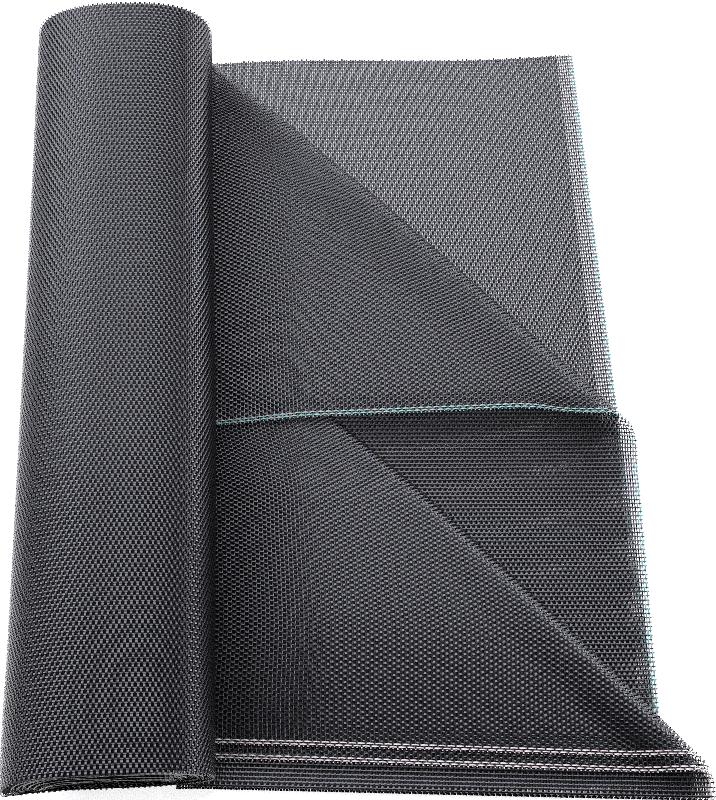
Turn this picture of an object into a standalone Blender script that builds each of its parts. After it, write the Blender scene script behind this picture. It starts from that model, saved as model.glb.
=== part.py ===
"""Vinyl mesh fabric: a length of coated open-weave cloth, folded into plies and part rolled.

The roll lies along +Y on a flat spot. The loose end lies beside it in four plies, open to the right.
lower_plies is one back-and-forth sheet: the bottom ply, a fold along the near edge, and the second ply, whose
far corner is turned back. upper_plies is the same again above it, with both its plies turned back together.
The mesh is solid here.

Sizes are in metres. While the part is being shaped, x is measured from the middle of the roll and y from the
near edge of the loose plies; the last step moves the origin to the middle of the whole, on the ground.
"""

import math

import bmesh
import bpy
from mathutils import Vector

MM = 0.001

# The cloth
PLY_THICKNESS = 1.0 * MM
PLY_SPACING = 1.35 * MM  # between the middles of plies that lie on each other

# The roll
ROLL_MIDDLE = 2.0 * MM
ROLL_WIDTH = 105.0 * MM
ROLL_HEIGHT = 68.0 * MM
ROLL_SQUARENESS = 2.4
ROLL_FLAT_SPOT = 0.7 * MM  # how much of the round is pressed flat underneath
ROLL_NEAR = 6.0 * MM
ROLL_FAR = 456.0 * MM
ROLL_POINTS_ROUND = 64
# Stations along the roll: share of its length, width and height beside the named sizes, and sideways drift.
ROLL_STATIONS = [
    {"along": 0.00, "wide": 1.000, "high": 0.985, "drift": -0.6 * MM},
    {"along": 0.06, "wide": 1.002, "high": 0.997, "drift": -0.5 * MM},
    {"along": 0.16, "wide": 0.996, "high": 1.006, "drift": -0.1 * MM},
    {"along": 0.30, "wide": 1.000, "high": 1.000, "drift": 0.3 * MM},
    {"along": 0.46, "wide": 1.006, "high": 0.988, "drift": 0.5 * MM},
    {"along": 0.62, "wide": 1.000, "high": 0.994, "drift": 0.2 * MM},
    {"along": 0.78, "wide": 0.994, "high": 1.004, "drift": -0.2 * MM},
    {"along": 0.92, "wide": 0.998, "high": 0.998, "drift": -0.4 * MM},
    {"along": 1.00, "wide": 1.002, "high": 0.980, "drift": -0.4 * MM},
]
# Rings of the two ends, from the outer turn to the core: size beside the outside, and how far in they lie.
END_RINGS = [
    {"size": 0.965, "near_in": -0.4 * MM, "far_in": -0.4 * MM},
    {"size": 0.940, "near_in": 2.6 * MM, "far_in": 1.8 * MM},
    {"size": 0.880, "near_in": 2.2 * MM, "far_in": 1.5 * MM},
    {"size": 0.850, "near_in": -0.2 * MM, "far_in": 0.4 * MM},
    {"size": 0.700, "near_in": 0.6 * MM, "far_in": 1.2 * MM},
    {"size": 0.450, "near_in": -1.4 * MM, "far_in": 2.2 * MM},
    {"size": 0.200, "near_in": 0.2 * MM, "far_in": 3.0 * MM},
]
NEAR_LEAN = 6.5 * MM  # the near end leans out over its foot by this much
FAR_LEAN = 2.0 * MM  # the far end leans back by this much
NEAR_TIP = 4.5 * MM  # an inner turn stands out of the near end at the left

# The loose plies
ROLL_SIDE = 50.0 * MM  # where the plies go in under the overhang of the roll
SIDE_RISE = 58.0 * MM  # how far from there a turned-back flap needs to reach its full height
COLUMNS = 22

LOWER = {
    "bottom": 0.5 * MM,
    "tuck": 32.0 * MM,
    "selvedge": 278.5 * MM,
    "near": 4.2 * MM,
    "near_slope": -0.040,
    "far": 454.0 * MM,
    "far_slope": -0.009,
    "far_wave": 1.8 * MM,
}
LOWER_FOLD = {
    "selvedge": 286.0 * MM,
    "start": 173.5 * MM,
    "slope": 1.165,
    "tilt": 0.000,
    "settle": 6.5 * MM,
    "first": 57.0 * MM,
    "tuck_height": 10.3 * MM,
    "droop": 3.5 * MM,
    "droop_reach": 35.0 * MM,
}
# Bend radius of the lower fold, by distance from the middle of the roll.
LOWER_BEND = [
    {"at": 57.0 * MM, "radius": 4.0 * MM},
    {"at": 110.0 * MM, "radius": 6.6 * MM},
    {"at": 170.0 * MM, "radius": 8.6 * MM},
    {"at": 230.0 * MM, "radius": 9.2 * MM},
    {"at": 286.0 * MM, "radius": 9.4 * MM},
]

UPPER = {
    "bottom": 3.2 * MM,
    "tuck": 41.0 * MM,
    "selvedge": 301.0 * MM,
    "near": 4.0 * MM,
    "near_slope": -0.068,
    "puff": 1.2 * MM,
    "puff_reach": 6.5 * MM,
}
UPPER_FOLD = {
    "selvedge": 301.0 * MM,
    "start": -7.4 * MM,
    "slope": 1.120,
    "tilt": 0.076,
    "settle": 0.0 * MM,
    "first": 57.0 * MM,
    "tuck_height": 8.2 * MM,
    "droop": 6.5 * MM,
    "droop_reach": 45.0 * MM,
}
UPPER_BEND = [
    {"at": 57.0 * MM, "radius": 2.3 * MM},
    {"at": 113.0 * MM, "radius": 4.6 * MM},
    {"at": 180.0 * MM, "radius": 7.6 * MM},
    {"at": 240.0 * MM, "radius": 7.8 * MM},
    {"at": 301.0 * MM, "radius": 6.4 * MM},
]
INNER_WIDER = 1.5 * MM  # the inner upper ply's selvedge stands out by this much
INNER_INSET = 1.8 * MM  # and its bend is this much tighter, and starts this much sooner

STATIONS = {"ply": 9, "upper": 11, "near_bend": 5, "bend": 10, "flap": 9}

CLOTH_COLOUR = (0.045, 0.047, 0.050, 1.0)


def clear_scene():
    for leftover in list(bpy.data.objects):
        bpy.data.objects.remove(leftover, do_unlink=True)


def smooth(share):
    share = min(max(share, 0.0), 1.0)
    return share * share * (3.0 - 2.0 * share)


def from_table(rows, column, key, value):
    """Reads a column of a table at a value of its key, smoothly between its rows."""
    if value <= rows[0][key]:
        return rows[0][column]
    for low, high in zip(rows, rows[1:]):
        if value <= high[key]:
            share = smooth((value - low[key]) / (high[key] - low[key]))
            return low[column] + (high[column] - low[column]) * share
    return rows[-1][column]


def near_edge(plies, across):
    return plies["near"] + plies["near_slope"] * (across - ROLL_SIDE)


def base_height(level, puff, across, along):
    """The middle of an upper ply that lies flat, a little puffed up along the near edge."""
    away = (along - near_edge(UPPER, across)) / UPPER["puff_reach"]
    free = 0.5 + 0.5 * smooth((UPPER_FOLD["selvedge"] - across) / (70.0 * MM))
    return level + puff * free * math.exp(-away * away)


def flap_height(fold, exit_height, across, from_selvedge, inset):
    """The middle of a turned-back flap: low by the roll, higher away from it, drooping to its selvedge."""
    side = smooth((across - ROLL_SIDE) / SIDE_RISE)
    low = fold["tuck_height"] - inset
    droop = fold["droop"] * math.exp(-from_selvedge / fold["droop_reach"])
    return low + (exit_height - droop - low) * side


def turned_back(fold, bend, across, level, inset):
    """The stations of one column of cloth through a slanting fold and along its flap back to the roll.

    inset makes the bend tighter and the flap lower, for a ply that lies inside another.
    """
    start = fold["start"] - inset + fold["slope"] * (fold["selvedge"] - across)
    radius = from_table(bend, "radius", "at", across) - inset
    length = math.hypot(1.0, fold["slope"])
    along_fold = Vector((1.0 / length, -fold["slope"] / length))
    out_of_fold = Vector((fold["slope"] / length, 1.0 / length))
    entry = Vector((across, start))
    points = []
    for step in range(1, STATIONS["bend"] + 1):
        turn = math.pi * step / STATIONS["bend"]
        place = entry + out_of_fold * (radius * math.sin(turn)) - along_fold * (radius * turn)
        points.append(Vector((place.x, place.y, level + radius * (1.0 - math.cos(turn)))))
    leave = entry - along_fold * (math.pi * radius)
    exit_height = level + 2.0 * radius
    reach = max(leave.x - (ROLL_SIDE - 0.5 * MM), 1.0 * MM)
    for step in range(1, STATIONS["flap"] + 1):
        gone = reach * step / STATIONS["flap"]
        x = leave.x - gone
        from_selvedge = fold["selvedge"] - across - 3.0 * inset
        settled = flap_height(fold, exit_height, x, from_selvedge, inset)
        z = exit_height + (settled - exit_height) * smooth(gone / (26.0 * MM))
        y = leave.y + fold["tilt"] * gone + fold["settle"] * smooth(gone / (45.0 * MM))
        points.append(Vector((x, y, z)))
    return points


def lower_column(share):
    """One warp-wise line of the lower plies, from the far edge of the bottom ply to the end of the flap."""
    points = []
    level = LOWER["bottom"]
    x = LOWER["tuck"] + (LOWER["selvedge"] - LOWER["tuck"]) * share
    far = LOWER["far"] + LOWER["far_slope"] * (x - ROLL_SIDE) + LOWER["far_wave"] * math.sin(math.tau * share)
    near = near_edge(LOWER, x)
    for step in range(STATIONS["ply"] + 1):
        points.append(Vector((x, far + (near - far) * step / STATIONS["ply"], level)))
    edge = points[-1]
    radius = PLY_SPACING / 2
    for step in range(1, STATIONS["near_bend"]):
        turn = math.pi * step / STATIONS["near_bend"]
        points.append(edge + Vector((0.0, -radius * math.sin(turn), radius * (1.0 - math.cos(turn)))))
    second = level + PLY_SPACING
    fold_x = LOWER_FOLD["first"] + (LOWER_FOLD["selvedge"] - LOWER_FOLD["first"]) * share
    fold_y = LOWER_FOLD["start"] + LOWER_FOLD["slope"] * (LOWER_FOLD["selvedge"] - fold_x)
    for step in range(STATIONS["ply"] + 1):
        up = step / STATIONS["ply"]
        points.append(Vector((x + (fold_x - x) * up, near + (fold_y - near) * up, second)))
    points += turned_back(LOWER_FOLD, LOWER_BEND, fold_x, second, 0.0)
    return points


def upper_ply(share, wider, level, inset, puff):
    """One line of an upper ply, from the near edge through its slanting fold to the end of its flap."""
    near_x = UPPER["tuck"] + (UPPER["selvedge"] + wider - UPPER["tuck"]) * share
    fold_x = UPPER_FOLD["first"] + (UPPER_FOLD["selvedge"] + wider - UPPER_FOLD["first"]) * share
    fold_y = UPPER_FOLD["start"] - inset + UPPER_FOLD["slope"] * (UPPER_FOLD["selvedge"] - fold_x)
    edge_y = near_edge(UPPER, near_x)
    crowding = 1.0 + 0.8 * smooth((fold_y - edge_y) / (60.0 * MM))
    points = []
    for step in range(STATIONS["upper"] + 1):
        up = (step / STATIONS["upper"]) ** crowding
        x = near_x + (fold_x - near_x) * up
        y = edge_y + (fold_y - edge_y) * up
        points.append(Vector((x, y, base_height(level, puff, x, y))))
    points += turned_back(UPPER_FOLD, UPPER_BEND, fold_x, points[-1].z, inset)
    return points


def upper_column(share):
    """One line of the upper plies: the outer flap and base, the near fold, the inner base and its flap."""
    outer = upper_ply(share, 0.0, UPPER["bottom"], 0.0, UPPER["puff"])
    inner_level = UPPER["bottom"] + PLY_SPACING
    inner = upper_ply(share, INNER_WIDER, inner_level, INNER_INSET, 2.2 * UPPER["puff"])
    low, high = outer[0], inner[0]
    middle = (low + high) / 2
    radius = (high.z - low.z) / 2
    turn_points = []
    for step in range(1, STATIONS["near_bend"]):
        turn = math.pi * step / STATIONS["near_bend"]
        shift = (low - middle) * math.cos(turn)
        turn_points.append(middle + shift + Vector((0.0, -radius * math.sin(turn), 0.0)))
    return outer[::-1] + turn_points + inner


def cloth_material(name):
    material = bpy.data.materials.new(name)
    material.use_nodes = True
    shader = material.node_tree.nodes["Principled BSDF"]
    shader.inputs["Base Color"].default_value = CLOTH_COLOUR
    shader.inputs["Roughness"].default_value = 0.55
    return material


def add_object(name, corners, faces):
    mesh = bpy.data.meshes.new(name)
    mesh.from_pydata([tuple(corner) for corner in corners], [], faces)
    body = bmesh.new()
    body.from_mesh(mesh)
    bmesh.ops.recalc_face_normals(body, faces=body.faces)
    bmesh.ops.triangulate(body, faces=body.faces)
    if body.calc_volume() < 0:
        bmesh.ops.reverse_faces(body, faces=body.faces)
    body.to_mesh(mesh)
    body.free()
    node = bpy.data.objects.new(name, mesh)
    bpy.context.collection.objects.link(node)
    mesh.materials.append(cloth_material(name + "_cloth"))
    return node


def sheet(name, columns):
    """A closed sheet of the ply's thickness about a grid of points, given as columns of equal length."""
    count, length = len(columns), len(columns[0])

    def normal(i, j):
        before, after = columns[max(i - 1, 0)][j], columns[min(i + 1, count - 1)][j]
        behind, ahead = columns[i][max(j - 1, 0)], columns[i][min(j + 1, length - 1)]
        return (after - before).cross(ahead - behind).normalized()

    corners = []
    for side in (0.5, -0.5):
        for i in range(count):
            for j in range(length):
                corners.append(columns[i][j] + normal(i, j) * (side * PLY_THICKNESS))
    under = count * length
    faces = []
    for i in range(count - 1):
        for j in range(length - 1):
            a, b = i * length + j, (i + 1) * length + j
            faces.append((a, b, b + 1, a + 1))
            faces.append((under + a, under + a + 1, under + b + 1, under + b))
    for j in range(length - 1):
        for first, turned in ((j, False), ((count - 1) * length + j, True)):
            wall = (first, first + 1, under + first + 1, under + first)
            faces.append(wall[::-1] if turned else wall)
    for i in range(count - 1):
        for first, turned in ((i * length, True), (i * length + length - 1, False)):
            wall = (first, first + length, under + first + length, under + first)
            faces.append(wall[::-1] if turned else wall)
    return add_object(name, corners, faces)


def roll_outline(width, height, drift):
    """The roll's section as (x, z) points: a squarish oval with its underside pressed flat on the ground."""
    points = []
    for step in range(ROLL_POINTS_ROUND):
        turn = math.tau * step / ROLL_POINTS_ROUND
        c, s = math.cos(turn), math.sin(turn)
        power = 2.0 / ROLL_SQUARENESS
        x = math.copysign(abs(c) ** power, c) * width / 2
        z = math.copysign(abs(s) ** power, s) * height / 2 + height / 2 - ROLL_FLAT_SPOT
        points.append((x + ROLL_MIDDLE + drift, max(z, 0.0)))
    return points


def end_place(near, x, z):
    """How far along a point of an end's rim lies: both ends lean, and the near one has a tip at the left."""
    up = z / ROLL_HEIGHT
    if near:
        left = smooth(((ROLL_MIDDLE - x) / (ROLL_WIDTH / 2) - 0.35) / 0.6)
        return ROLL_NEAR - NEAR_LEAN * up - NEAR_TIP * left * (1.0 - abs(2.0 * up - 0.9))
    return ROLL_FAR - FAR_LEAN * up


def build_roll():
    rings = []
    first, last = ROLL_STATIONS[0], ROLL_STATIONS[-1]
    core_height = (ROLL_HEIGHT - ROLL_FLAT_SPOT) / 2

    def ring(row, size, near, inset):
        points = []
        for x, z in roll_outline(ROLL_WIDTH * row["wide"], ROLL_HEIGHT * row["high"], row["drift"]):
            x, z = ROLL_MIDDLE + (x - ROLL_MIDDLE) * size, core_height + (z - core_height) * size
            y = end_place(near, x, z) + (inset if near else -inset)
            points.append(Vector((x, y, z)))
        return points

    for row in reversed(END_RINGS):
        rings.append(ring(first, row["size"], True, row["near_in"]))
    for row in ROLL_STATIONS:
        points = []
        for x, z in roll_outline(ROLL_WIDTH * row["wide"], ROLL_HEIGHT * row["high"], row["drift"]):
            near, far = end_place(True, x, z), end_place(False, x, z)
            points.append(Vector((x, near + (far - near) * row["along"], z)))
        rings.append(points)
    for row in END_RINGS:
        rings.append(ring(last, row["size"], False, row["far_in"]))
    corners = [point for points in rings for point in points]
    faces = []
    around = ROLL_POINTS_ROUND
    for k in range(len(rings) - 1):
        for i in range(around):
            j = (i + 1) % around
            faces.append((k * around + i, k * around + j, (k + 1) * around + j, (k + 1) * around + i))
    for k in (0, len(rings) - 1):
        middle = sum(rings[k], Vector()) / around
        corners.append(middle)
        hub = len(corners) - 1
        for i in range(around):
            j = (i + 1) % around
            face = (k * around + i, k * around + j, hub)
            faces.append(face if k else face[::-1])
    return add_object("roll", corners, faces)


def move_origin(nodes):
    """Moves the origin to the middle of the whole, on the ground."""
    places = [node.matrix_world @ vertex.co for node in nodes for vertex in node.data.vertices]
    low = Vector([min(place[k] for place in places) for k in range(3)])
    high = Vector([max(place[k] for place in places) for k in range(3)])
    shift = Vector(((low.x + high.x) / 2, (low.y + high.y) / 2, low.z))
    for node in nodes:
        for vertex in node.data.vertices:
            vertex.co -= shift
    print("size", [round(v, 5) for v in high - low], "shift", [round(v, 6) for v in shift])


def build():
    clear_scene()
    nodes = [build_roll()]
    shares = [i / COLUMNS for i in range(COLUMNS + 1)]
    nodes.append(sheet("lower_plies", [lower_column(share) for share in shares]))
    nodes.append(sheet("upper_plies", [upper_column(share) for share in shares]))
    move_origin(nodes)
    for node in nodes:
        print(node.name, len(node.data.polygons), "triangles")


build()
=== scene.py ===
# Vinyl mesh fabric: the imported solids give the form, and every yarn of the cloth is woven over them here.
import math
from functools import partial

import bpy
import numpy
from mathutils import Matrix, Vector


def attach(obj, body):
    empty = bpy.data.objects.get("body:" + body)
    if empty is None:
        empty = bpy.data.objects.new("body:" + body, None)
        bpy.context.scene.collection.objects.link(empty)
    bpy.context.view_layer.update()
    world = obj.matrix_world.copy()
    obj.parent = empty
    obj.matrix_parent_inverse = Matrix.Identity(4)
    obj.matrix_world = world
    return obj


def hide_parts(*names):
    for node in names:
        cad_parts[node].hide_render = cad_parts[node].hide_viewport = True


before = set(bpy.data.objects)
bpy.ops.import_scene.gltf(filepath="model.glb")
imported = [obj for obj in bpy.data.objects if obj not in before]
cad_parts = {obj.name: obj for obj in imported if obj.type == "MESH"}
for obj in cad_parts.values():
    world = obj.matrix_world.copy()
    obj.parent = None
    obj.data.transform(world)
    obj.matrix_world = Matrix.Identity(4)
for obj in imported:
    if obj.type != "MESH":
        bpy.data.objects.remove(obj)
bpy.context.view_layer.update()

# The cloth's own places are in millimetres, x from the middle of the roll and y from the near edge of the
# plies. The origin is the middle of the whole, so they are moved by this much.
middle = {"x": 125.87, "y": 220.886}

cloth = {
    "warpPitch": 1.404,  # yarns that run along the roll
    "weftPitch": 2.405,  # yarns that run round it
    "warpWidth": 0.80,  # in warp pitches
    "weftWidth": 0.30,  # in weft pitches
    "roundness": 0.28,  # how far the sides of a yarn turn away
    "warpTilt": 0.46,  # how far a warp leans where it dips between wefts
    "warpCrimp": 0.00042,  # metres
    "weftCrimp": 0.00013,
    "warpTop": 0.22,  # half the length of a warp's flat top where it crosses, in weft pitches
    "unevenness": 0.05,
    "plySpacing": 1.35,
    "selvedgeWarps": 2,
    "selvedgeWidth": 0.5,
    "edgeWarps": 5,  # the last warps before a selvedge are thinner
    "edgeThin": 0.6,
    "margin": 1.3,  # warps that a ply's surface goes past each of its sides
}


# Helpers for shapes

def smooth(share):
    share = min(max(share, 0.0), 1.0)
    return share * share * (3.0 - 2.0 * share)


def fromTable(rows, column, key, value):
    # reads a column of a table at a value of its key, smoothly between its rows
    if value <= rows[0][key]:
        return rows[0][column]
    for low, high in zip(rows, rows[1:]):
        if value <= high[key]:
            share = smooth((value - low[key]) / (high[key] - low[key]))
            return low[column] + (high[column] - low[column]) * share
    return rows[-1][column]


def inMetres(place):
    return Vector(((place.x - middle["x"]) / 1000, (place.y - middle["y"]) / 1000, place.z / 1000))


def columnLength(column):
    return sum((b - a).length for a, b in zip(column, column[1:]))


def addObject(name, mesh):
    made = bpy.data.objects.new(name, mesh)
    bpy.context.collection.objects.link(made)
    return made


# Helpers for node trees

def addNode(tree, kind, inputs=None, **settings):
    made = tree.nodes.new(kind)
    for name, value in settings.items():
        setattr(made, name, value)
    for key, value in (inputs or {}).items():
        if isinstance(value, bpy.types.NodeSocket):
            tree.links.new(value, made.inputs[key])
        else:
            made.inputs[key].default_value = value
    return made


def calc(tree, operation, *values):
    return addNode(tree, "ShaderNodeMath", dict(enumerate(values)), operation=operation).outputs[0]


def combine(tree, x, y, z=0.0):
    return addNode(tree, "ShaderNodeCombineXYZ", {0: x, 1: y, 2: z}).outputs[0]


def vectorCalc(tree, operation, inputs):
    return addNode(tree, "ShaderNodeVectorMath", inputs, operation=operation).outputs[0]


def newTree(name, kind, inputs, outputs):
    tree = bpy.data.node_groups.new(name, kind)
    for label, socketType, value in inputs:
        made = tree.interface.new_socket(label, in_out="INPUT", socket_type=socketType)
        if value is not None:
            made.default_value = value
    for label, socketType in outputs:
        tree.interface.new_socket(label, in_out="OUTPUT", socket_type=socketType)
    return tree, tree.nodes.new("NodeGroupInput").outputs, tree.nodes.new("NodeGroupOutput")


# Materials

finishInputs = [
    ("Colour", "NodeSocketColor", (0.1, 0.1, 0.1, 1)),
    ("Variation", "NodeSocketFloat", 0.2),
    ("Roughness", "NodeSocketFloat", 0.4),
    ("Grain", "NodeSocketFloat", 300.0),
]
finish = {
    "broadScale": 14.0, "broadDetail": 3.0, "broadShare": 0.6, "fineDetail": 2.0, "fineShare": 0.4,
    "roughnessPlay": 0.2,
}
mixColour = {"factor": 0, "first": 6, "second": 7, "result": 2}  # a colour mix's sockets


def makeYarnFinish():
    # colour and roughness of a coated yarn: broad variation along the cloth and finer variation on each yarn
    tree, given, out = newTree("yarnFinish", "ShaderNodeTree", finishInputs, [
        ("Colour", "NodeSocketColor"), ("Roughness", "NodeSocketFloat")])
    find = partial(calc, tree)
    place = addNode(tree, "ShaderNodeTexCoord").outputs["Object"]
    broad = addNode(tree, "ShaderNodeTexNoise", {
        "Vector": place, "Scale": finish["broadScale"], "Detail": finish["broadDetail"]}).outputs["Fac"]
    fine = addNode(tree, "ShaderNodeTexNoise", {
        "Vector": place, "Scale": given["Grain"], "Detail": finish["fineDetail"]}).outputs["Fac"]
    broadPart = find("MULTIPLY", broad, finish["broadShare"])
    finePart = find("MULTIPLY", fine, finish["fineShare"])
    mixed = find("ADD", broadPart, finePart)
    reach = find("MULTIPLY", given["Variation"], 2.0)
    shade = find("ADD", 1.0, find("MULTIPLY", find("SUBTRACT", mixed, 0.5), reach))
    grey = addNode(tree, "ShaderNodeCombineColor", {"Red": shade, "Green": shade, "Blue": shade}).outputs[0]
    colour = addNode(tree, "ShaderNodeMix", {
        mixColour["factor"]: 1.0, mixColour["first"]: given["Colour"], mixColour["second"]: grey},
        data_type="RGBA", blend_type="MULTIPLY").outputs[mixColour["result"]]
    change = find("MULTIPLY", find("SUBTRACT", fine, 0.5), finish["roughnessPlay"])
    tree.links.new(colour, out.inputs["Colour"])
    tree.links.new(find("ADD", given["Roughness"], change), out.inputs["Roughness"])
    return tree


yarnFinish = makeYarnFinish()

# the yarns are nearly black, and what shows of them is the gloss of their coating
yarnLooks = {
    "charcoalYarn": {"colour": (0.0025, 0.0025, 0.0035), "variation": 0.25, "roughness": 0.27,
                     "specular": 0.9},
    # painted shade: the low parts of the warps, where they pass under the wefts, are darker and less glossy
    "lowPaintedShadeYarn": {"colour": (0.0015, 0.0015, 0.002), "variation": 0.25, "roughness": 0.45, "specular": 0.3},
    # painted sheen: the wefts are lighter and a little glossier than the warps, for the bright lines they
    # show
    "weftPaintedSheenYarn": {"colour": (0.004, 0.004, 0.006), "variation": 0.25, "roughness": 0.27, "specular": 1.0},
    # painted shade: the body inside the roll has little gloss, so that it shows dark through the holes of the
    # outer turn
    "innerPaintedShadeYarn": {"colour": (0.004, 0.004, 0.005), "variation": 0.3, "roughness": 0.8, "specular": 0.1},
    "aquaYarn": {"colour": (0.28, 0.43, 0.39), "variation": 0.15, "roughness": 0.45, "specular": 0.5},
    "pinkYarn": {"colour": (0.70, 0.62, 0.58), "variation": 0.15, "roughness": 0.45, "specular": 0.5},
}


def yarnMaterial(name):
    look = yarnLooks[name]
    material = bpy.data.materials.new(name)
    material.use_nodes = True
    tree = material.node_tree
    shader = tree.nodes["Principled BSDF"]
    group = addNode(tree, "ShaderNodeGroup", node_tree=yarnFinish)
    group.inputs["Colour"].default_value = (*look["colour"], 1)
    group.inputs["Variation"].default_value = look["variation"]
    group.inputs["Roughness"].default_value = look["roughness"]
    tree.links.new(group.outputs["Colour"], shader.inputs["Base Color"])
    tree.links.new(group.outputs["Roughness"], shader.inputs["Roughness"])
    shader.inputs["Specular IOR Level"].default_value = look["specular"]
    return material


charcoalYarn = yarnMaterial("charcoalYarn")
lowPaintedShadeYarn = yarnMaterial("lowPaintedShadeYarn")
weftPaintedSheenYarn = yarnMaterial("weftPaintedSheenYarn")
innerPaintedShadeYarn = yarnMaterial("innerPaintedShadeYarn")
aquaYarn = yarnMaterial("aquaYarn")
pinkYarn = yarnMaterial("pinkYarn")
print("materials made")


# Weaving: a surface that carries its yarn numbers as a map is sampled by ribbons laid out in yarn numbers

mapScale = 1 / 256  # yarn numbers to the unit square
ribbonWidth = 0.5  # in yarn numbers, before a ribbon gets its own width
stepEdge = 0.25  # a warp's rows of points are at whole and half numbers, and this tells them apart
tiny = 1e-9  # keeps a division from failing
smallestFace = 1e-9  # square metres; what a ribbon has past its yarn's end is smaller, and is taken away

# the play of each yarn about its place and of the length of its ends, in pitches
play = {
    "byNumber": 0.73, "byPlace": 0.09, "reach": 4.0, "warpShift": 0.3, "weftShift": 7.7,
    "warpEnd": (-0.35, 0.5), "weftEnd": (0.8, 1.1),
}

weaveInputs = [
    ("Surface", "NodeSocketGeometry", None),
    ("First Warp", "NodeSocketInt", 0),
    ("Warps", "NodeSocketInt", 10),
    ("Wefts", "NodeSocketInt", 10),
    ("Last Warp", "NodeSocketInt", 10),
    ("Weft From", "NodeSocketInt", 0),
    ("Warp Steps", "NodeSocketInt", 2),
    ("Warp Width", "NodeSocketFloat", 0.5),
    ("Warp Top", "NodeSocketFloat", 0.22),
    ("Thin From", "NodeSocketFloat", 1000.0),
    ("Thin", "NodeSocketFloat", 1.0),
    ("Weft Width", "NodeSocketFloat", 0.3),
    ("Warp Crimp", "NodeSocketFloat", 0.0003),
    ("Weft Crimp", "NodeSocketFloat", 0.0001),
    ("Unevenness", "NodeSocketFloat", 0.05),
    ("Roundness", "NodeSocketFloat", 0.7),
    ("Warp Tilt", "NodeSocketFloat", 0.4),
    ("Painted Shade Below", "NodeSocketFloat", -0.0001),
    ("Left Fringe", "NodeSocketFloat", 0.4),
    ("Side Fringe", "NodeSocketFloat", 0.4),
    ("Start Fringe", "NodeSocketFloat", 0.4),
    ("End Fringe", "NodeSocketFloat", 0.4),
    ("Seed", "NodeSocketInt", 1),
    ("Material", "NodeSocketMaterial", None),
    ("Painted Shade Material", "NodeSocketMaterial", None),
    ("Weft Material", "NodeSocketMaterial", None),
]


def readAttribute(tree, name, kind):
    made = addNode(tree, "GeometryNodeInputNamedAttribute", {"Name": name}, data_type=kind)
    return [socket for socket in made.outputs if socket.enabled and socket.name == "Attribute"][0]


def storeAttribute(tree, geometry, name, value, kind):
    return addNode(tree, "GeometryNodeStoreNamedAttribute", {
        "Geometry": geometry, "Name": name, "Value": value}, data_type=kind, domain="POINT").outputs[0]


def setMaterial(tree, geometry, material, **choice):
    return addNode(tree, "GeometryNodeSetMaterial", {
        "Geometry": geometry, "Material": material, **choice}).outputs[0]


def ribbons(tree, count, first, start, span, vertices, alongY):
    # one ribbon for each yarn, a number apart, along y for warps and along x for wefts
    half = calc(tree, "ADD", calc(tree, "MULTIPLY", span, 0.5), start)
    if alongY:
        size = {"Size X": ribbonWidth, "Size Y": span, "Vertices X": 2, "Vertices Y": vertices}
        centre, offset = combine(tree, first, half), (1, 0, 0)
    else:
        size = {"Size X": span, "Size Y": ribbonWidth, "Vertices X": vertices, "Vertices Y": 2}
        centre, offset = combine(tree, half, first), (0, 1, 0)
    ribbon = addNode(tree, "GeometryNodeMeshGrid", size).outputs["Mesh"]
    line = addNode(tree, "GeometryNodeMeshLine", {
        "Count": count, "Start Location": centre, "Offset": offset}).outputs["Mesh"]
    laid = addNode(tree, "GeometryNodeInstanceOnPoints", {"Points": line, "Instance": ribbon}).outputs[0]
    return addNode(tree, "GeometryNodeRealizeInstances", {"Geometry": laid}).outputs[0]


def wander(tree, given, number, along, shift):
    # how far a yarn lies off its own place, in pitches
    find = partial(calc, tree)
    across, onward = find("MULTIPLY", number, play["byNumber"]), find("MULTIPLY", along, play["byPlace"])
    vector = combine(tree, across, onward, find("ADD", given["Seed"], shift))
    noise = addNode(tree, "ShaderNodeTexNoise", {
        "Vector": vector, "Scale": 1.0, "Detail": 1.0}).outputs["Fac"]
    reach = find("MULTIPLY", given["Unevenness"], play["reach"])
    return find("MULTIPLY", find("SUBTRACT", noise, 0.5), reach)


def wave(tree, value):
    # 1 at an even number and -1 at an odd one
    return calc(tree, "COSINE", calc(tree, "MULTIPLY", value, math.pi))


def randomEnd(tree, given, number, limits):
    # the identifiers of the least and the most of a random number are 2 and 3
    return addNode(tree, "FunctionNodeRandomValue", {
        2: limits[0], 3: limits[1], "ID": number, "Seed": given["Seed"]}, data_type="FLOAT").outputs[1]


def markYarns(tree, yarns, u, v, height, tiltAcross, tiltAlong):
    # keeps on the ribbons where they are in the map, how far they rise and how far they lean
    at = combine(tree, calc(tree, "MULTIPLY", u, mapScale), calc(tree, "MULTIPLY", v, mapScale))
    yarns = storeAttribute(tree, yarns, "sampleAt", at, "FLOAT_VECTOR")
    yarns = storeAttribute(tree, yarns, "crimp", height, "FLOAT")
    return storeAttribute(tree, yarns, "tilt", combine(tree, tiltAcross, tiltAlong), "FLOAT_VECTOR")


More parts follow.
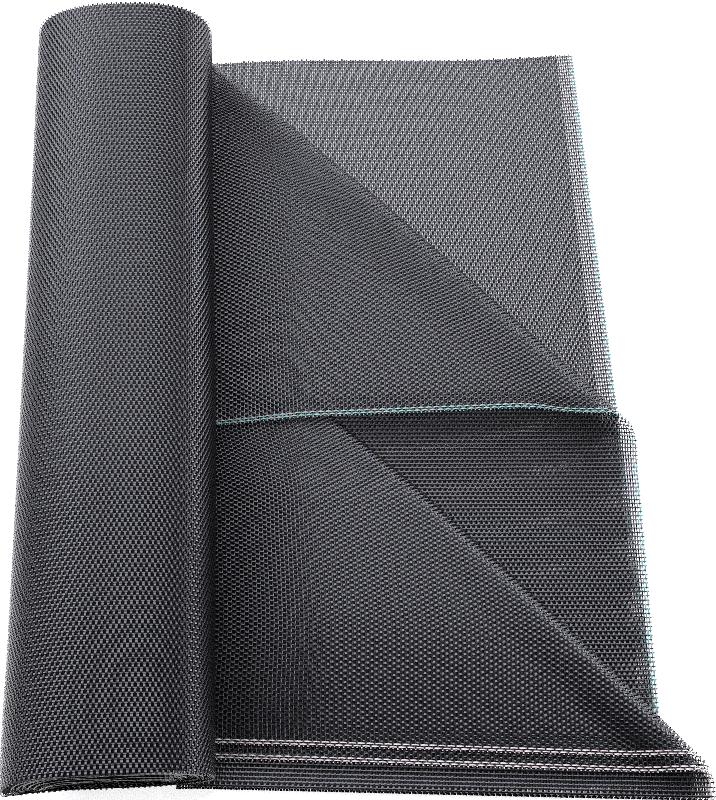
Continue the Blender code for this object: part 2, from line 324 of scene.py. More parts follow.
def addWarps(tree, given, x, y):
    find = partial(calc, tree)
    rows = find("ADD", given["Wefts"], 1.0)
    points = find("ADD", find("MULTIPLY", rows, given["Warp Steps"]), 1.0)
    warps = ribbons(tree, given["Warps"], given["First Warp"], -1.0, rows, points, True)
    number = find("ROUND", x)
    side = find("SIGN", find("SUBTRACT", x, number))
    ending = randomEnd(tree, given, number, play["warpEnd"])
    endAt = find("ADD", find("SUBTRACT", given["Wefts"], 1.0), find(
        "MULTIPLY", given["End Fringe"], find("ADD", 1.0, ending)))
    startAt = find("MULTIPLY", given["Start Fringe"], find("SUBTRACT", ending, 1.0))
    # with two steps to a pitch, the rows are drawn to the two ends of a warp's flat top at each crossing
    doubled = find("SUBTRACT", given["Warp Steps"], 1.0)
    crossing = find("FLOOR", find("ADD", y, stepEdge))
    isSecond = find("GREATER_THAN", find("SUBTRACT", y, crossing), stepEdge)
    fromCrossing = find("ADD", find("MULTIPLY", given["Warp Top"], -1.0), find(
        "MULTIPLY", isSecond, find("MULTIPLY", given["Warp Top"], 2.0)))
    moved = find("SUBTRACT", find("ADD", crossing, fromCrossing), y)
    drawn = find("ADD", y, find("MULTIPLY", doubled, moved))
    v = find("MINIMUM", find("MAXIMUM", drawn, startAt), endAt)
    # the last warps may be thinner
    isThin = find("GREATER_THAN", number, given["Thin From"])
    thinner = find("ADD", 1.0, find("MULTIPLY", isThin, find("SUBTRACT", given["Thin"], 1.0)))
    halfWide = find("MULTIPLY", find("MULTIPLY", given["Warp Width"], 0.5), thinner)
    atNumber = find("ADD", number, wander(tree, given, number, y, play["warpShift"]))
    u = find("ADD", atNumber, find("MULTIPLY", side, halfWide))
    # over and under the wefts by turns, with a lean from each crossing to the next
    over = find("MULTIPLY", wave(tree, crossing), wave(tree, number))
    height = find("MULTIPLY", given["Warp Crimp"], over)
    lean = find("MULTIPLY", doubled, find("SUBTRACT", find("MULTIPLY", isSecond, 2.0), 1.0))
    tiltAlong = find("MULTIPLY", over, find("MULTIPLY", given["Warp Tilt"], lean))
    tiltAcross = find("MULTIPLY", side, given["Roundness"])
    warps = markYarns(tree, warps, u, v, height, tiltAcross, tiltAlong)
    warps = setMaterial(tree, warps, given["Material"])
    # painted shade: the faces of a warp below its crossings, where it passes under a weft, take a darker,
    # less glossy material
    crimp = readAttribute(tree, "crimp", "FLOAT")
    inPaintedShade = addNode(tree, "FunctionNodeCompare", {0: crimp, 1: given["Painted Shade Below"]}, data_type="FLOAT",
                    operation="LESS_THAN").outputs[0]
    return setMaterial(tree, warps, given["Painted Shade Material"], Selection=inPaintedShade)


def addWefts(tree, given, x, y):
    find = partial(calc, tree)
    across = find("ADD", find("SUBTRACT", given["Last Warp"], given["Weft From"]), 2.0)
    start = find("SUBTRACT", given["Weft From"], 1.0)
    wefts = ribbons(tree, given["Wefts"], 0.0, start, across, find("ADD", across, 1.0), False)
    number = find("ROUND", y)
    side = find("SIGN", find("SUBTRACT", y, number))
    ending = randomEnd(tree, given, number, play["weftEnd"])
    endAt = find("ADD", given["Last Warp"], find("MULTIPLY", given["Side Fringe"], ending))
    startAt = find("SUBTRACT", given["Weft From"], given["Left Fringe"])
    u = find("MINIMUM", find("MAXIMUM", x, startAt), endAt)
    atNumber = find("ADD", number, wander(tree, given, number, x, play["weftShift"]))
    v = find("ADD", atNumber, find("MULTIPLY", side, find("MULTIPLY", given["Weft Width"], 0.5)))
    under = find("MULTIPLY", -1.0, find("MULTIPLY", wave(tree, x), wave(tree, number)))
    height = find("MULTIPLY", given["Weft Crimp"], under)
    wefts = markYarns(tree, wefts, u, v, height, 0.0, find("MULTIPLY", side, given["Roundness"]))
    return setMaterial(tree, wefts, given["Weft Material"])


def layOver(tree, given, yarns):
    # moves the yarns from the map onto the surface, and keeps their rounded normals
    place = addNode(tree, "GeometryNodeInputPosition").outputs[0]
    weaveMap = readAttribute(tree, "weaveMap", "FLOAT_VECTOR")
    at = readAttribute(tree, "sampleAt", "FLOAT_VECTOR")

    def sample(value):
        return addNode(tree, "GeometryNodeSampleUVSurface", {
            "Mesh": given["Surface"], "Value": value, "Source UV Map": weaveMap, "Sample UV": at},
            data_type="FLOAT_VECTOR").outputs

    where = sample(place)
    outward, acrossWay, alongWay = (
        sample(readAttribute(tree, name, "FLOAT_VECTOR"))[0] for name in ("outward", "acrossWay", "alongWay"))
    tilt = addNode(tree, "ShaderNodeSeparateXYZ", {0: readAttribute(tree, "tilt", "FLOAT_VECTOR")}).outputs
    normal = outward
    for way, amount in ((acrossWay, tilt[0]), (alongWay, tilt[1])):
        turned = vectorCalc(tree, "SCALE", {0: way, "Scale": amount})
        normal = vectorCalc(tree, "ADD", {0: normal, 1: turned})
    lift = vectorCalc(tree, "SCALE", {0: outward, "Scale": readAttribute(tree, "crimp", "FLOAT")})
    laid = vectorCalc(tree, "ADD", {0: where[0], 1: lift})
    off = addNode(tree, "FunctionNodeBooleanMath", {0: where["Is Valid"]}, operation="NOT").outputs[0]
    yarns = storeAttribute(tree, yarns, "off", off, "BOOLEAN")
    yarns = storeAttribute(tree, yarns, "rounded", normal, "FLOAT_VECTOR")
    yarns = addNode(tree, "GeometryNodeSetPosition", {"Geometry": yarns, "Position": laid}).outputs[0]
    # what is off the surface goes, and what is left past the yarns' ends
    yarns = addNode(tree, "GeometryNodeDeleteGeometry", {
        "Geometry": yarns, "Selection": readAttribute(tree, "off", "BOOLEAN")}, domain="POINT").outputs[0]
    area = addNode(tree, "GeometryNodeInputMeshFaceArea").outputs[0]
    isEmpty = addNode(tree, "FunctionNodeCompare", {0: area, 1: smallestFace}, data_type="FLOAT",
                      operation="LESS_THAN").outputs[0]
    yarns = addNode(tree, "GeometryNodeDeleteGeometry", {
        "Geometry": yarns, "Selection": isEmpty}, domain="FACE").outputs[0]
    for name in ("sampleAt", "crimp", "tilt", "off"):
        yarns = addNode(tree, "GeometryNodeRemoveAttribute", {"Geometry": yarns, "Name": name}).outputs[0]
    return yarns


def makeWeaveTree():
    tree, given, out = newTree("weave", "GeometryNodeTree", weaveInputs, [("Geometry", "NodeSocketGeometry")])
    place = addNode(tree, "GeometryNodeInputPosition").outputs[0]
    x, y = addNode(tree, "ShaderNodeSeparateXYZ", {0: place}).outputs[:2]
    both = addNode(tree, "GeometryNodeJoinGeometry")
    tree.links.new(addWefts(tree, given, x, y), both.inputs[0])
    tree.links.new(addWarps(tree, given, x, y), both.inputs[0])
    tree.links.new(layOver(tree, given, both.outputs[0]), out.inputs[0])
    return tree


weaveTree = makeWeaveTree()


def addStrip(strip, points, faces):
    # a strip has columns of places along the warps, the warp number of each column, the way gone along the
    # warps at its first place, and from which row on its wefts crowd
    columns, first = strip["columns"], len(points)
    count, length = len(columns), len(columns[0])
    flapFrom, crowding = strip.get("flapFrom", length), strip.get("crowding", 1.0)
    for i, column in enumerate(columns):
        gone = strip.get("gone", 0.0)
        for j, place in enumerate(column):
            if j:
                gone += (place - column[j - 1]).length * (crowding if j > flapFrom else 1.0)
            across = columns[min(i + 1, count - 1)][j] - columns[max(i - 1, 0)][j]
            along = column[min(j + 1, length - 1)] - column[max(j - 1, 0)]
            points.append({
                "place": tuple(inMetres(place)),
                "weaveMap": (strip["numbers"][i] * mapScale, gone / cloth["weftPitch"] * mapScale),
                "outward": across.cross(along).normalized(),
                "acrossWay": across.normalized(), "alongWay": along.normalized()})
    for i in range(count - 1):
        for j in range(length - 1):
            a, b = first + i * length + j, first + (i + 1) * length + j
            faces.append((a, b, b + 1, a + 1))


def clothSurface(name, strips):
    # the map of a surface holds the warp number and the weft number, which is the way gone along the warp
    points, faces = [], []
    for strip in strips:
        addStrip(strip, points, faces)
    mesh = bpy.data.meshes.new(name)
    mesh.from_pydata([point["place"] for point in points], [], faces)
    for label in ("outward", "acrossWay", "alongWay"):
        made = mesh.attributes.new(label, "FLOAT_VECTOR", "POINT")
        made.data.foreach_set("vector", [value for point in points for value in point[label]])
    weaveMap = mesh.attributes.new("weaveMap", "FLOAT2", "CORNER")
    for loop in mesh.loops:
        weaveMap.data[loop.index].vector = points[loop.vertex_index]["weaveMap"]
    return addObject(name, mesh)


def useRoundedNormals(mesh):
    rounded = mesh.attributes["rounded"]
    normals = numpy.empty(len(mesh.vertices) * 3, dtype=numpy.float32)
    rounded.data.foreach_get("vector", normals)
    normals = normals.reshape(-1, 3)
    normals /= numpy.maximum(numpy.linalg.norm(normals, axis=1, keepdims=True), tiny)
    mesh.attributes.remove(rounded)
    mesh.shade_smooth()
    mesh.normals_split_custom_set_from_vertices(normals)


def weave(name, surface, warps, wefts, material, slot, **changes):
    # the woven piece of a surface, as a plain mesh
    values = {
        "First Warp": 0, "Warps": warps, "Wefts": wefts, "Last Warp": warps - 1,
        "Warp Steps": 2, "Warp Width": cloth["warpWidth"], "Warp Top": cloth["warpTop"],
        "Weft Width": cloth["weftWidth"], "Warp Crimp": cloth["warpCrimp"], "Weft Crimp": cloth["weftCrimp"],
        "Unevenness": cloth["unevenness"], "Roundness": cloth["roundness"], "Warp Tilt": cloth["warpTilt"],
        # the charcoal warps get painted shade where they pass under the wefts
        "Material": material, "Painted Shade Material": lowPaintedShadeYarn if material == charcoalYarn else material,
        # the wefts get a painted sheen
        "Weft Material": weftPaintedSheenYarn,
    }
    values.update(changes)
    modifier = surface.modifiers.new("weave", "NODES")
    modifier.node_group = weaveTree
    for item in weaveTree.interface.items_tree:
        if item.item_type == "SOCKET" and item.in_out == "INPUT" and item.name in values:
            modifier[item.identifier] = values[item.name]
    evaluated = surface.evaluated_get(bpy.context.evaluated_depsgraph_get())
    mesh = bpy.data.meshes.new_from_object(evaluated)
    mesh.name = name
    piece = addObject(name, mesh)
    surface.modifiers.remove(modifier)
    useRoundedNormals(mesh)
    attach(piece, "root")
    print(name, len(mesh.polygons) * 2, "triangles")
    return piece


# Lower plies: the bottom ply with its raw far edge, the near fold, the second ply and its turned-back corner

lower = {
    "bottom": 0.5, "tuck": 32.0, "selvedge": 278.5, "near": 4.2, "nearSlope": -0.040,
    "far": 454.0, "farSlope": -0.009, "farWave": 1.8,
    "spare": 3.0,  # surface past the far edge, for the ends of the warps
}
lowerFold = {
    "selvedge": 286.0, "start": 173.5, "slope": 1.165, "tilt": 0.0, "settle": 6.5, "first": 57.0,
    "tuckHeight": 10.3, "droop": 3.5, "droopReach": 35.0,
}
lowerBend = [
    {"at": 57.0, "radius": 4.0}, {"at": 110.0, "radius": 6.6}, {"at": 170.0, "radius": 8.6},
    {"at": 230.0, "radius": 9.2}, {"at": 286.0, "radius": 9.4},
]

# Upper plies: two plies joined at the near fold and turned back together

upper = {
    "bottom": 3.2, "tuck": 41.0, "selvedge": 301.0, "near": 4.0, "nearSlope": -0.068,
    "puff": 1.2, "puffReach": 6.5, "innerPuff": 2.2, "freeReach": 70.0,
    "crowding": 0.8, "crowdingReach": 60.0,
}
upperFold = {
    "selvedge": 301.0, "start": -7.4, "slope": 1.120, "tilt": 0.076, "settle": 0.0, "first": 57.0,
    "tuckHeight": 8.2, "droop": 6.5, "droopReach": 45.0,
}
upperBend = [
    {"at": 57.0, "radius": 2.3}, {"at": 113.0, "radius": 4.6}, {"at": 180.0, "radius": 7.6},
    {"at": 240.0, "radius": 7.8}, {"at": 301.0, "radius": 6.4},
]

plies = {
    "rollSide": 50.0, "sideRise": 58.0, "innerWider": 1.5, "innerInset": 1.8, "insetSide": 3.0,
    "flapEnd": 0.5, "shortestFlap": 1.0, "settleHeightReach": 26.0, "settleSideReach": 45.0,
    "columns": 56, "stations": 24, "bend": 20, "flap": 30, "nearBend": 8,
}


def nearEdge(ply, across):
    return ply["near"] + ply["nearSlope"] * (across - plies["rollSide"])


def baseHeight(level, puff, across, along):
    away = (along - nearEdge(upper, across)) / upper["puffReach"]
    free = 0.5 + 0.5 * smooth((upperFold["selvedge"] - across) / upper["freeReach"])
    return level + puff * free * math.exp(-away * away)


def flapHeight(fold, exitHeight, across, fromSelvedge, inset):
    side = smooth((across - plies["rollSide"]) / plies["sideRise"])
    low = fold["tuckHeight"] - inset
    droop = fold["droop"] * math.exp(-fromSelvedge / fold["droopReach"])
    return low + (exitHeight - droop - low) * side


def turnedBack(fold, bend, across, level, inset):
    # one warp through a slanting fold and along its flap, back to the roll
    start = fold["start"] - inset + fold["slope"] * (fold["selvedge"] - across)
    radius = fromTable(bend, "radius", "at", across) - inset
    length = math.hypot(1.0, fold["slope"])
    alongFold = Vector((1.0 / length, -fold["slope"] / length))
    outOfFold = Vector((fold["slope"] / length, 1.0 / length))
    entry = Vector((across, start))
    points = []
    for step in range(1, plies["bend"] + 1):
        turn = math.pi * step / plies["bend"]
        place = entry + outOfFold * (radius * math.sin(turn)) - alongFold * (radius * turn)
        points.append(Vector((place.x, place.y, level + radius * (1.0 - math.cos(turn)))))
    leave = entry - alongFold * (math.pi * radius)
    exitHeight = level + 2.0 * radius
    reach = max(leave.x - (plies["rollSide"] - plies["flapEnd"]), plies["shortestFlap"])
    fromSelvedge = fold["selvedge"] - across - plies["insetSide"] * inset
    for step in range(1, plies["flap"] + 1):
        gone = reach * step / plies["flap"]
        x = leave.x - gone
        y = leave.y + fold["tilt"] * gone + fold["settle"] * smooth(gone / plies["settleSideReach"])
        settled = flapHeight(fold, exitHeight, x, fromSelvedge, inset)
        z = exitHeight + (settled - exitHeight) * smooth(gone / plies["settleHeightReach"])
        points.append(Vector((x, y, z)))
    return points


def nearFold(low, high, steps):
    # places round the fold at the near edge, from the lower ply at step 0 to the upper one at the last step
    half = (low + high) / 2
    radius = (high.z - low.z) / 2
    points = []
    for k in steps:
        turn = math.pi * k / plies["nearBend"]
        points.append(half + (low - half) * math.cos(turn) + Vector((0, -radius * math.sin(turn), 0)))
    return points


firstHalf = range(1, plies["nearBend"] // 2 + 1)
secondHalf = range(plies["nearBend"] // 2, plies["nearBend"])


def lowerEdge(share):
    x = lower["tuck"] + (lower["selvedge"] - lower["tuck"]) * share
    low = Vector((x, nearEdge(lower, x), lower["bottom"]))
    return low, low + Vector((0, 0, cloth["plySpacing"]))


def bottomPlyColumn(share):
    low, high = lowerEdge(share)
    far = lower["far"] + lower["farSlope"] * (low.x - plies["rollSide"])
    far += lower["farWave"] * math.sin(math.tau * share) + lower["spare"]
    count = plies["stations"]
    points = [Vector((low.x, far + (low.y - far) * k / count, low.z)) for k in range(count + 1)]
    return points + nearFold(low, high, firstHalf)


def secondPlyColumn(share):
    low, high = lowerEdge(share)
    points = nearFold(low, high, secondHalf)
    foldX = lowerFold["first"] + (lowerFold["selvedge"] - lowerFold["first"]) * share
    foldY = lowerFold["start"] + lowerFold["slope"] * (lowerFold["selvedge"] - foldX)
    for k in range(plies["stations"] + 1):
        up = k / plies["stations"]
        points.append(Vector((low.x + (foldX - low.x) * up, low.y + (foldY - low.y) * up, high.z)))
    return points + turnedBack(lowerFold, lowerBend, foldX, high.z, 0.0)


def upperPly(share, wider, level, inset, puff):
    nearX = upper["tuck"] + (upper["selvedge"] + wider - upper["tuck"]) * share
    foldX = upperFold["first"] + (upperFold["selvedge"] + wider - upperFold["first"]) * share
    foldY = upperFold["start"] - inset + upperFold["slope"] * (upperFold["selvedge"] - foldX)
    edgeY = nearEdge(upper, nearX)
    crowding = 1.0 + upper["crowding"] * smooth((foldY - edgeY) / upper["crowdingReach"])
    points = []
    for k in range(plies["stations"] + 1):
        up = (k / plies["stations"]) ** crowding
        x, y = nearX + (foldX - nearX) * up, edgeY + (foldY - edgeY) * up
        points.append(Vector((x, y, baseHeight(level, puff, x, y))))
    return points + turnedBack(upperFold, upperBend, foldX, points[-1].z, inset)


def upperEnds(share):
    outer = upperPly(share, 0.0, upper["bottom"], 0.0, upper["puff"])
    inner = upperPly(share, plies["innerWider"], upper["bottom"] + cloth["plySpacing"],
                     plies["innerInset"], upper["innerPuff"] * upper["puff"])
    return outer, inner


def upperOuterColumn(share):
    outer, inner = upperEnds(share)
    return nearFold(outer[0], inner[0], firstHalf)[::-1] + outer


def upperInnerColumn(share):
    outer, inner = upperEnds(share)
    return nearFold(outer[0], inner[0], secondHalf) + inner


# the bottom ply is the sheer one, so its yarns have their own widths
plySets = [
    {"name": "bottomPly", "column": bottomPlyColumn, "width": 246.5, "colour": "aqua",
     "seed": 3, "startFringe": 0.55, "endFringe": 0.0, "held": "laid", "parts": 1,
     "warpWidth": 0.77, "weftWidth": 0.42, "warpTilt": 0.36, "unevenness": 0.03},
    {"name": "secondPly", "column": secondPlyColumn, "width": 246.5, "colour": "aqua",
     "seed": 5, "startFringe": 0.0, "endFringe": 0.3, "held": "folded", "parts": 2, "flapPitch": 2.14},
    {"name": "upperOuterPly", "column": upperOuterColumn, "width": 260.0, "colour": "pink",
     "seed": 8, "startFringe": 0.0, "endFringe": 0.3, "held": "folded", "parts": 1, "flapPitch": 2.28},
    {"name": "upperInnerPly", "column": upperInnerColumn, "width": 261.5, "colour": "pink",
     "seed": 11, "startFringe": 0.0, "endFringe": 0.3, "held": "folded", "parts": 1, "flapPitch": 2.28},
]
stubs = {"left": -0.5, "side": 0.9}  # the weft ends that show past a selvedge, in warp pitches
bodyFringe = {"left": 0.4, "side": 0.5}


def weaveSelvedge(row, surface, warps, wefts, endings):
    material = aquaYarn if row["colour"] == "aqua" else pinkYarn
    return weave(row["name"] + "Selvedge", surface, cloth["selvedgeWarps"], wefts, material,
                 row["colour"] + "_selvedge", **{
                     "First Warp": warps - cloth["selvedgeWarps"], "Last Warp": warps - 1,
                     "Weft From": warps - 1, "Left Fringe": stubs["left"], "Side Fringe": stubs["side"],
                     "Weft Material": material, "Warp Width": cloth["selvedgeWidth"]}, **endings)


def weaveBody(row, surface, warps, wefts, part, endings):
    # a ply with many yarns is woven in parts, from the roll outwards
    each = round(warps / row["parts"] / 2) * 2
    isOutermost = part == row["parts"] - 1
    first, last = each * part, warps - 1 if isOutermost else each * (part + 1)
    own = {label: row.get(name, cloth[name]) for label, name in (
        ("Warp Width", "warpWidth"), ("Weft Width", "weftWidth"), ("Warp Tilt", "warpTilt"),
        ("Unevenness", "unevenness"))}
    thinFrom = warps - cloth["selvedgeWarps"] - 0.5 - cloth["edgeWarps"]
    body = weave(row["name"] + ("Outer" if part else ""), surface, last - first - (1 if isOutermost else 0),
                 wefts, charcoalYarn, "mesh_cloth", **own, **{
                     "First Warp": first, "Weft From": first, "Last Warp": last,
                     "Left Fringe": 0.0 if part else bodyFringe["left"],
                     "Side Fringe": bodyFringe["side"] if isOutermost else 0.0,
                     "Thin From": thinFrom, "Thin": cloth["edgeThin"]}, **endings)
    return body, first, last


def buildPly(row):
    warps = round(row["width"] / cloth["warpPitch"])
    warps += warps % 2
    margin = cloth["margin"] / (warps - 1)
    shares = [-margin + (1 + 2 * margin) * i / plies["columns"] for i in range(plies["columns"] + 1)]
    columns = [row["column"](share) for share in shares]
    numbers = [share * (warps - 1) for share in shares]
    spare = lower["spare"] if row["startFringe"] else 0.0
    # the wefts crowd a little in a turned-back corner, so that they run straight along it
    crowding = cloth["weftPitch"] / row.get("flapPitch", cloth["weftPitch"])
    surface = clothSurface(row["name"] + "Surface", [{
        "columns": columns, "numbers": numbers, "gone": -spare, "crowding": crowding,
        "flapFrom": len(columns[0]) - plies["flap"] - plies["bend"] - 1}])
    lengths = [columnLength(column) - spare for column in columns]
    wefts = int(max(lengths) * crowding / cloth["weftPitch"]) + 1
    endings = {"Seed": row["seed"], "Start Fringe": row["startFringe"], "End Fringe": row["endFringe"]}
    edge = weaveSelvedge(row, surface, warps, wefts, endings)
    made = []
    for part in range(row["parts"]):
        body, first, last = weaveBody(row, surface, warps, wefts, part, endings)
        made.append(body)
    bpy.data.objects.remove(surface, do_unlink=True)
    return made


for row in plySets:
    buildPly(row)
print("plies woven")


# The roll: its outer turn is woven, over a body of the inner turns in painted shade

roll = {
    "middle": 2.0, "width": 105.0, "height": 68.0, "squareness": 2.4, "flatSpot": 0.7,
    "near": 6.0, "far": 456.0, "nearLean": 6.5, "farLean": 2.0,
    "nearTip": 4.5, "tipFrom": 0.35, "tipSpan": 0.6, "tipHeight": 0.9,
    "around": 160, "along": 40, "warps": 200, "outlineSteps": 720, "turnDeep": 0.55,
    "turnFringe": 0.12, "seed": 21,
}
rollStations = [
    {"along": 0.00, "wide": 1.000, "high": 0.985, "drift": -0.6},
    {"along": 0.06, "wide": 1.002, "high": 0.997, "drift": -0.5},
    {"along": 0.16, "wide": 0.996, "high": 1.006, "drift": -0.1},
    {"along": 0.30, "wide": 1.000, "high": 1.000, "drift": 0.3},
    {"along": 0.46, "wide": 1.006, "high": 0.988, "drift": 0.5},
    {"along": 0.62, "wide": 1.000, "high": 0.994, "drift": 0.2},
    {"along": 0.78, "wide": 0.994, "high": 1.004, "drift": -0.2},
    {"along": 0.92, "wide": 0.998, "high": 0.998, "drift": -0.4},
    {"along": 1.00, "wide": 1.002, "high": 0.980, "drift": -0.4},
]


def endPlace(near, x, z):
    # where the roll ends along y: the near end leans, and its left side stands out in a tip
    up = z / roll["height"]
    if near:
        left = (roll["middle"] - x) / (roll["width"] / 2)
        left = smooth((left - roll["tipFrom"]) / roll["tipSpan"])
        tip = roll["nearTip"] * left * (1.0 - abs(2.0 * up - roll["tipHeight"]))
        return roll["near"] - roll["nearLean"] * up - tip
    return roll["far"] - roll["farLean"] * up


def rollOutline(along, deep, count):
    # the roll's section a little way in from its outside, as (x, z) from the lowest point, evenly spaced
    wide = fromTable(rollStations, "wide", "along", along) * roll["width"] / 2 - deep
    high = fromTable(rollStations, "high", "along", along) * roll["height"] / 2
    drift = fromTable(rollStations, "drift", "along", along)
    power, steps = 2.0 / roll["squareness"], roll["outlineSteps"]
    dense = []
    for k in range(steps + 1):
        turn = math.tau * k / steps - math.pi / 2
        c, s = math.cos(turn), math.sin(turn)
        x = math.copysign(abs(c) ** power, c) * wide
        z = math.copysign(abs(s) ** power, s) * (high - deep) + high - roll["flatSpot"]
        dense.append(Vector((x + roll["middle"] + drift, max(z, deep))))
    gone = [0.0]
    for a, b in zip(dense, dense[1:]):
        gone.append(gone[-1] + (b - a).length)
    points, k = [], 0
    for i in range(count + 1):
        want = gone[-1] * i / count
        while k < steps - 1 and gone[k + 1] < want:
            k += 1
        share = (want - gone[k]) / max(gone[k + 1] - gone[k], tiny)
        points.append(dense[k].lerp(dense[k + 1], share))
    return points, gone[-1]


# how far the edges of the turns stand back from the two ends, by their depth in the roll
endSteps = [
    {"deep": 0.0, "near": -0.4, "far": -0.4}, {"deep": 1.4, "near": -0.4, "far": -0.4},
    {"deep": 2.5, "near": 2.6, "far": 1.8}, {"deep": 4.6, "near": 2.2, "far": 1.5},
    {"deep": 5.8, "near": -0.2, "far": 0.4}, {"deep": 11.4, "near": 0.6, "far": 1.2},
    {"deep": 21.0, "near": -1.4, "far": 2.2}, {"deep": 30.0, "near": 0.2, "far": 3.0},
]
rollEnds = {
    "pairs": 12, "layers": 24, "strip": 6.2, "around": 96, "unevenness": 0.35, "bend": 4,
    "slowWaves": 3, "slowShift": 1.7, "quickWaves": 7, "quickShift": 2.9,
    "rowsApart": 8,  # weft numbers from one strip to the next in the map
    "firstRow": 0.3, "nearSeed": 31, "farSeed": 37,
}
rollInside = {
    "deep": 1.25, "capDeeper": 2.2, "rimBack": 1.0, "nearBack": 3.6, "farBack": 6.2,
    "around": 96, "along": 14,
}


def turnedEdge(near, x, z, inward, bulge):
    # places of one warp where a pair of layers is folded at the near end, from its outer layer to its inner
    radius = cloth["plySpacing"] / 2
    points = []
    for k in range(rollEnds["bend"] + 1):
        turn = math.pi * k / rollEnds["bend"]
        share = (1 - math.cos(turn)) / 2
        points.append(Vector((x + (inward.x - x) * share, near + bulge + radius * (1 - math.sin(turn)),
                              z + (inward.y - z) * share)))
    return points


def rollTurnColumn(rings, inside, i):
    # one warp of the outer turn, from its cut far end to its folded near end and a little way back inside
    along = roll["along"]
    column = []
    for j in range(along):
        x, z = rings[j][i].x, rings[j][i].y
        near, far = endPlace(True, x, z), endPlace(False, x, z)
        column.append(Vector((x, near + (far - near) * (1 - j / along), z)))
    x, z = rings[along][i].x, rings[along][i].y
    column += turnedEdge(endPlace(True, x, z), x, z, inside[i], endSteps[0]["near"])
    back = column[-1]
    return column + [back + Vector((0, rollEnds["strip"] * k / 2, 0)) for k in (1, 2)]


def buildRollTurn():
    around, along, deep = roll["around"], roll["along"], roll["turnDeep"]
    rings = [rollOutline(1 - j / along, deep, around)[0] for j in range(along + 1)]
    inside = rollOutline(0.0, deep + cloth["plySpacing"], around)[0]
    columns = [rollTurnColumn(rings, inside, i) for i in range(around, -1, -1)]
    numbers = [roll["warps"] * i / around for i in range(around + 1)]
    surface = clothSurface("rollSurface", [{"columns": columns, "numbers": numbers}])
    lengths = [columnLength(column) for column in columns]
    wefts = int(min(lengths) / cloth["weftPitch"]) + 1
    half = roll["warps"] // 2
    made = []
    for name, first in (("rollTurn", 0), ("rollTurnLeft", half)):
        made.append(weave(name, surface, half, wefts, charcoalYarn, "mesh_cloth", **{
            "First Warp": first, "Weft From": first, "Last Warp": first + half, "Left Fringe": 0.0,
            "Side Fringe": 0.0, "Start Fringe": roll["turnFringe"], "End Fringe": 0.0, "Seed": roll["seed"]}))
    bpy.data.objects.remove(surface, do_unlink=True)
    return made, lengths


def endColumn(near, point, inward, bulge):
    # one warp at the edge of a turn: round its fold at the near end, or cut off at the far one
    x, z, strip = point.x, point.y, rollEnds["strip"]
    if near:
        column = turnedEdge(endPlace(True, x, z), x, z, inward, bulge)
        back = Vector((0, strip, 0))
        return [column[0] + back] + column + [column[-1] + back]
    cut = endPlace(False, x, z) - bulge
    return [Vector((x, cut - strip * (1 - step / 2), z)) for step in range(3)]


def endStrips(near):
    # the edges of the turns inside: a strip for each folded pair at the near end, or cut layer at the far one
    strips = []
    side, spacing = ("near", 2 * cloth["plySpacing"]) if near else ("far", cloth["plySpacing"])
    along, around = 0.0 if near else 1.0, rollEnds["around"]
    for k in range(rollEnds["pairs"] if near else rollEnds["layers"]):
        deep = roll["turnDeep"] + spacing * (k + 1)
        outline, girth = rollOutline(along, deep, around)
        inside = rollOutline(along, deep + cloth["plySpacing"], around)[0]
        stand = fromTable(endSteps, side, "deep", deep)
        columns = []
        for i, point in enumerate(outline):
            turn = math.tau * i / around
            slow = math.sin(rollEnds["slowWaves"] * turn + rollEnds["slowShift"] * k)
            quick = math.sin(rollEnds["quickWaves"] * turn + rollEnds["quickShift"] * k)
            bulge = stand + rollEnds["unevenness"] * (slow + quick) / 2
            columns.append(endColumn(near, point, inside[i], bulge))
        warps = round(girth / cloth["warpPitch"] / 2) * 2
        numbers = [warps * i / around for i in range(around + 1)]
        strips.append({"columns": columns, "numbers": numbers,
                       "gone": (rollEnds["rowsApart"] * k + rollEnds["firstRow"]) * cloth["weftPitch"]})
    return strips


def buildRollEnd(name, near):
    strips = endStrips(near)
    surface = clothSurface(name + "Surface", strips)
    most = round(max(strip["numbers"][-1] for strip in strips))
    made = weave(name, surface, most, rollEnds["rowsApart"] * len(strips), charcoalYarn, "mesh_cloth", **{
        "Last Warp": most, "Side Fringe": 0.0, "Left Fringe": 0.0, "Start Fringe": 0.0, "End Fringe": 0.0,
        "Warp Steps": 1, "Seed": rollEnds["nearSeed" if near else "farSeed"]})
    bpy.data.objects.remove(surface, do_unlink=True)
    return made


def buildRollBody():
    # the turns inside, as one body in painted shade, without the yarns' gloss; its first and last rings are
    # smaller, and set back behind the edges
    around, along = rollInside["around"], rollInside["along"]
    corners, faces = [], []
    for j in range(along + 1):
        isEnd = j in (0, along)
        nearBack, farBack = (rollInside[name if isEnd else "rimBack"] for name in ("nearBack", "farBack"))
        share = min(max((j - 1) / (along - 2), 0.0), 1.0)
        deep = rollInside["deep"] + (rollInside["capDeeper"] if isEnd else 0.0)
        for point in rollOutline(share, deep, around)[0][:-1]:
            near = endPlace(True, point.x, point.y) + nearBack
            far = endPlace(False, point.x, point.y) - farBack
            corners.append(inMetres(Vector((point.x, near + (far - near) * share, point.y))))
    for j in range(along):
        for i in range(around):
            k = (i + 1) % around
            faces.append((j * around + i, j * around + k, (j + 1) * around + k, (j + 1) * around + i))
    faces.append(tuple(range(around))[::-1])
    faces.append(tuple(along * around + i for i in range(around)))
    mesh = bpy.data.meshes.new("rollBody")
    mesh.from_pydata([tuple(corner) for corner in corners], [], faces)
    mesh.materials.append(innerPaintedShadeYarn)
    piece = addObject("rollBody", mesh)
    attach(piece, "root")
    return piece


rollTurns, rollLengths = buildRollTurn()
rollBody = buildRollBody()
nearEnd = buildRollEnd("rollNearEnd", True)
farEnd = buildRollEnd("rollFarEnd", False)
print("roll made")

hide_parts("roll")
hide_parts("lower_plies")
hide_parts("upper_plies")


# Stage

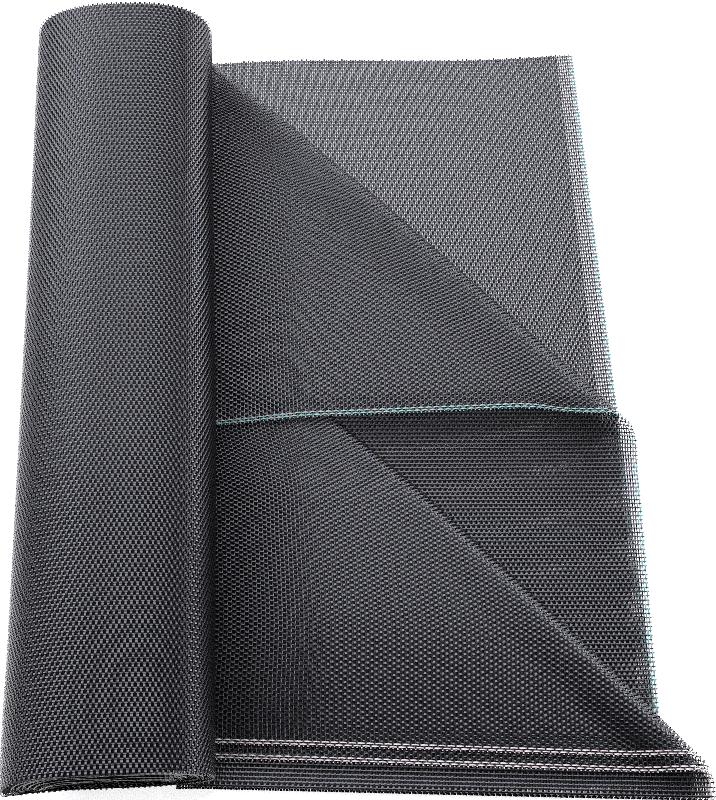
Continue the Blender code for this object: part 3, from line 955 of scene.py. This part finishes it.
stage = {
    "floorHalf": 3.0, "floorTop": -0.0003, "floorColour": (0.9, 0.9, 0.9, 1), "floorRoughness": 0.9,
    "world": 0.012, "panelColour": (0.87, 0.88, 1.0), "floorLightColour": (1.0, 1.0, 1.0),
    "lens": 69.3, "cameraAt": (-0.0091, -0.3721, 0.7927), "tiltUp": 25.0, "turn": -2.53, "filterWidth": 0.7,
}


def makeFloor():
    material = bpy.data.materials.new("paleFloor")
    material.use_nodes = True
    shader = material.node_tree.nodes["Principled BSDF"]
    shader.inputs["Base Color"].default_value = stage["floorColour"]
    shader.inputs["Roughness"].default_value = stage["floorRoughness"]
    mesh = bpy.data.meshes.new("floor")
    half, top = stage["floorHalf"], stage["floorTop"]
    mesh.from_pydata([(-half, -half, top), (half, -half, top), (half, half, top), (-half, half, top)], [],
                     [(0, 1, 2, 3)])
    mesh.materials.append(material)
    return addObject("floor", mesh)


floor = makeFloor()

# the gloss of each slope of the yarns comes from one of the panels; two more lamps light the floor alone,
# so that it is pale under the cloth without bright marks on the yarns
lights = [
    {"name": "topPanel", "at": (0.05, 0.74, 1.55), "to": (0.05, 0.0, 0.0), "size": (1.8, 0.54),
     "power": 13.0},
    {"name": "nearTopPanel", "at": (-0.02, 0.31, 1.62), "to": (-0.02, 0.0, 0.0), "size": (0.5, 0.34),
     "power": 1.8},
    {"name": "nearPanel", "at": (0.0, -0.42, 1.3), "to": (0.0, 0.0, 0.0), "size": (1.4, 0.34), "power": 0.6},
    {"name": "farPanel", "at": (0.0, 1.75, 0.95), "to": (0.0, 0.0, 0.2), "size": (2.4, 1.6), "power": 56.0},
    {"name": "leftPanel", "at": (-1.2, 0.42, 1.0), "to": (0.0, 0.15, 0.0), "size": (1.7, 1.5), "power": 44.0},
    {"name": "rightPanel", "at": (1.35, 0.35, 0.26), "to": (0.0, 0.2, 0.2), "size": (1.8, 0.52),
     "power": 25.0},
    {"name": "floorKey", "at": (0.05, -0.08, 1.5), "to": (0.0, 0.0, 0.0), "size": (0.2, 0.2), "power": 21.5,
     "floorOnly": True},
    {"name": "floorFill", "at": (-0.1, -1.3, 0.55), "to": (-0.05, -0.25, 0.0), "size": (1.6, 0.4),
     "power": 36.0, "floorOnly": True},
]
floorGroup = bpy.data.collections.new("floorGroup")
floorGroup.objects.link(floor)
for row in lights:
    floorOnly = row.get("floorOnly", False)
    data = bpy.data.lights.new(row["name"], "AREA")
    data.shape = "RECTANGLE"
    data.size, data.size_y = row["size"]
    data.energy = row["power"]
    data.color = stage["floorLightColour" if floorOnly else "panelColour"]
    lamp = addObject(row["name"], data)
    lamp.visible_camera = False
    lamp.location = row["at"]
    lamp.rotation_euler = (Vector(row["to"]) - Vector(row["at"])).to_track_quat("-Z", "Y").to_euler()
    if floorOnly:
        lamp.light_linking.receiver_collection = floorGroup

world = bpy.data.worlds.new("studio")
bpy.context.scene.world = world
world.use_nodes = True
world.node_tree.nodes["Background"].inputs["Color"].default_value = (1, 1, 1, 1)
world.node_tree.nodes["Background"].inputs["Strength"].default_value = stage["world"]
bpy.context.scene.view_settings.view_transform = "Standard"
bpy.context.scene.cycles.use_denoising = False
bpy.context.scene.cycles.filter_width = stage["filterWidth"]

cameraData = bpy.data.cameras.new("camera")
cameraData.lens = stage["lens"]
camera = addObject("camera", cameraData)
camera.location = stage["cameraAt"]
camera.rotation_euler = (math.radians(stage["tiltUp"]), 0.0, math.radians(stage["turn"]))
bpy.context.scene.camera = camera
print("stage made")
